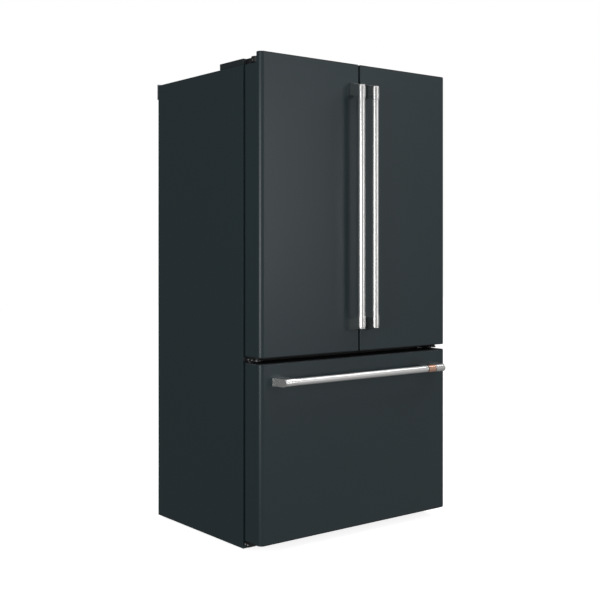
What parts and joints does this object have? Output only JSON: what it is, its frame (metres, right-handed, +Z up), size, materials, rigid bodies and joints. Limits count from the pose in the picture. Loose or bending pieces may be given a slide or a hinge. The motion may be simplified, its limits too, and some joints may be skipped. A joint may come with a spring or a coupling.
{
  "type": "french door refrigerator",
  "caption": "Freestanding slate refrigerator with a pair of hinged upper doors, a freezer drawer below and round tubular handles on flared posts.",
  "frame": {"origin": "on the floor, under the middle of the outer box", "axes": "+Z up, +Y towards the back, the doors face -Y, +X to the right when facing the doors"},
  "size_m": [0.908, 0.7966, 1.7761],
  "materials": {
    "slate_paint": "satin matte powder coat, dark slate with a cool green-blue cast",
    "rear_steel": "galvanised sheet, dull grey",
    "foam": "rigid insulation foam, hidden",
    "white_liner": "thermoformed plastic, satin white",
    "black_paint": "semi-gloss black paint",
    "slate_plastic": "moulded plastic with a fine texture, dark slate",
    "black_plastic": "moulded black plastic with a fine texture",
    "zinc_steel": "zinc plated steel",
    "nylon": "natural nylon",
    "coil_aluminium": "bare fins and tube",
    "shelf_glass": "clear tempered glass in a moulded frame",
    "clear_plastic": "clear moulded polystyrene",
    "grey_rubber": "soft grey magnetic seal",
    "stainless": "fine brushed stainless steel",
    "copper": "brushed copper"
  },
  "bodies": {
    "cabinet": {"outer_wrapper": "slate_paint", "rear_panel": "rear_steel", "cabinet_insulation": "foam", "fresh_food_liner": "white_liner", "freezer_liner": "white_liner", "base_frame": "black_paint", "top_cover": "slate_plastic", "machine_cover": "black_paint", "power_inlet": "black_plastic", "left_top_hinge": "black_paint", "right_top_hinge": "black_paint", "left_centre_hinge": "zinc_steel", "right_centre_hinge": "zinc_steel", "left_front_leg": "zinc_steel", "right_front_leg": "zinc_steel", "compressor": "black_paint", "condenser_coil": "black_paint", "evaporator_coil": "coil_aluminium", "evaporator_cover": "white_liner", "upper_shelf": "shelf_glass", "lower_shelf": "shelf_glass", "crisper_cover": "shelf_glass", "left_fixed_slide": "zinc_steel", "right_fixed_slide": "zinc_steel"},
    "left_door": {"left_door_skin": "slate_paint", "left_door_liner": "white_liner", "left_door_gasket": "grey_rubber", "left_handle_tube": "stainless", "left_handle_bottom_post": "stainless", "left_handle_top_post": "stainless", "left_door_lower_bin": "clear_plastic", "left_door_upper_bin": "clear_plastic"},
    "right_door": {"right_door_skin": "slate_paint", "right_door_liner": "white_liner", "right_door_gasket": "grey_rubber", "right_handle_tube": "stainless", "right_handle_bottom_post": "stainless", "right_handle_top_post": "stainless", "right_door_lower_bin": "clear_plastic", "right_door_upper_bin": "clear_plastic"},
    "mullion": {"folding_mullion": "black_plastic"},
    "freezer_drawer": {"drawer_skin": "slate_paint", "drawer_liner": "white_liner", "drawer_gasket": "grey_rubber", "drawer_handle_tube": "stainless", "drawer_handle_left_post": "stainless", "drawer_handle_right_post": "stainless", "drawer_handle_ring": "copper", "lower_basket": "clear_plastic", "left_drawer_slide": "zinc_steel", "right_drawer_slide": "zinc_steel"},
    "middle_slides": {"left_middle_slide": "zinc_steel", "right_middle_slide": "zinc_steel"},
    "upper_freezer_basket": {"upper_basket": "clear_plastic"},
    "left_crisper_drawer": {"left_crisper": "clear_plastic"},
    "right_crisper_drawer": {"right_crisper": "clear_plastic"},
    "condenser_fan_rotor": {"condenser_fan": "black_plastic"},
    "evaporator_fan_rotor": {"evaporator_fan": "nylon"},
    "left_roller": {"left_rear_roller": "nylon"},
    "right_roller": {"right_rear_roller": "nylon"}
  },
  "joints": [
    {"name": "left_door_swing", "type": "hinge", "parent": "cabinet", "child": "left_door", "pos_m": [-0.431, -0.2803, 1.2], "axis": [0, 0, -1], "range_deg": [0, 115]},
    {"name": "right_door_swing", "type": "hinge", "parent": "cabinet", "child": "right_door", "pos_m": [0.431, -0.2803, 1.2], "axis": [0, 0, 1], "range_deg": [0, 115]},
    {"name": "mullion_fold", "type": "hinge", "parent": "left_door", "child": "mullion", "pos_m": [-0.027, -0.213, 1.2], "axis": [0, 0, -1], "range_deg": [0, 90]},
    {"name": "drawer_pull", "type": "slide", "parent": "cabinet", "child": "freezer_drawer", "axis": [0, -1, 0], "range_m": [0, 0.4]},
    {"name": "middle_slide_travel", "type": "slide", "parent": "cabinet", "child": "middle_slides", "axis": [0, -1, 0], "range_m": [0, 0.2]},
    {"name": "upper_basket_pull", "type": "slide", "parent": "cabinet", "child": "upper_freezer_basket", "axis": [0, -1, 0], "range_m": [0, 0.115]},
    {"name": "left_crisper_pull", "type": "slide", "parent": "cabinet", "child": "left_crisper_drawer", "axis": [0, -1, 0], "range_m": [0, 0.1]},
    {"name": "right_crisper_pull", "type": "slide", "parent": "cabinet", "child": "right_crisper_drawer", "axis": [0, -1, 0], "range_m": [0, 0.1]},
    {"name": "condenser_fan_spin", "type": "hinge", "parent": "cabinet", "child": "condenser_fan_rotor", "pos_m": [0.06, 0.285, 0.12], "axis": [1, 0, 0], "continuous": true},
    {"name": "evaporator_fan_spin", "type": "hinge", "parent": "cabinet", "child": "evaporator_fan_rotor", "pos_m": [0, 0.262, 0.567], "axis": [0, 1, 0], "continuous": true},
    {"name": "left_roller_spin", "type": "hinge", "parent": "cabinet", "child": "left_roller", "pos_m": [-0.4, 0.34, 0.022], "axis": [1, 0, 0], "continuous": true},
    {"name": "right_roller_spin", "type": "hinge", "parent": "cabinet", "child": "right_roller", "pos_m": [0.4, 0.34, 0.022], "axis": [1, 0, 0], "continuous": true}
  ],
  "couplings": [
    {"joint": "middle_slide_travel", "follows": "drawer_pull", "ratio": 0.5}
  ]
}
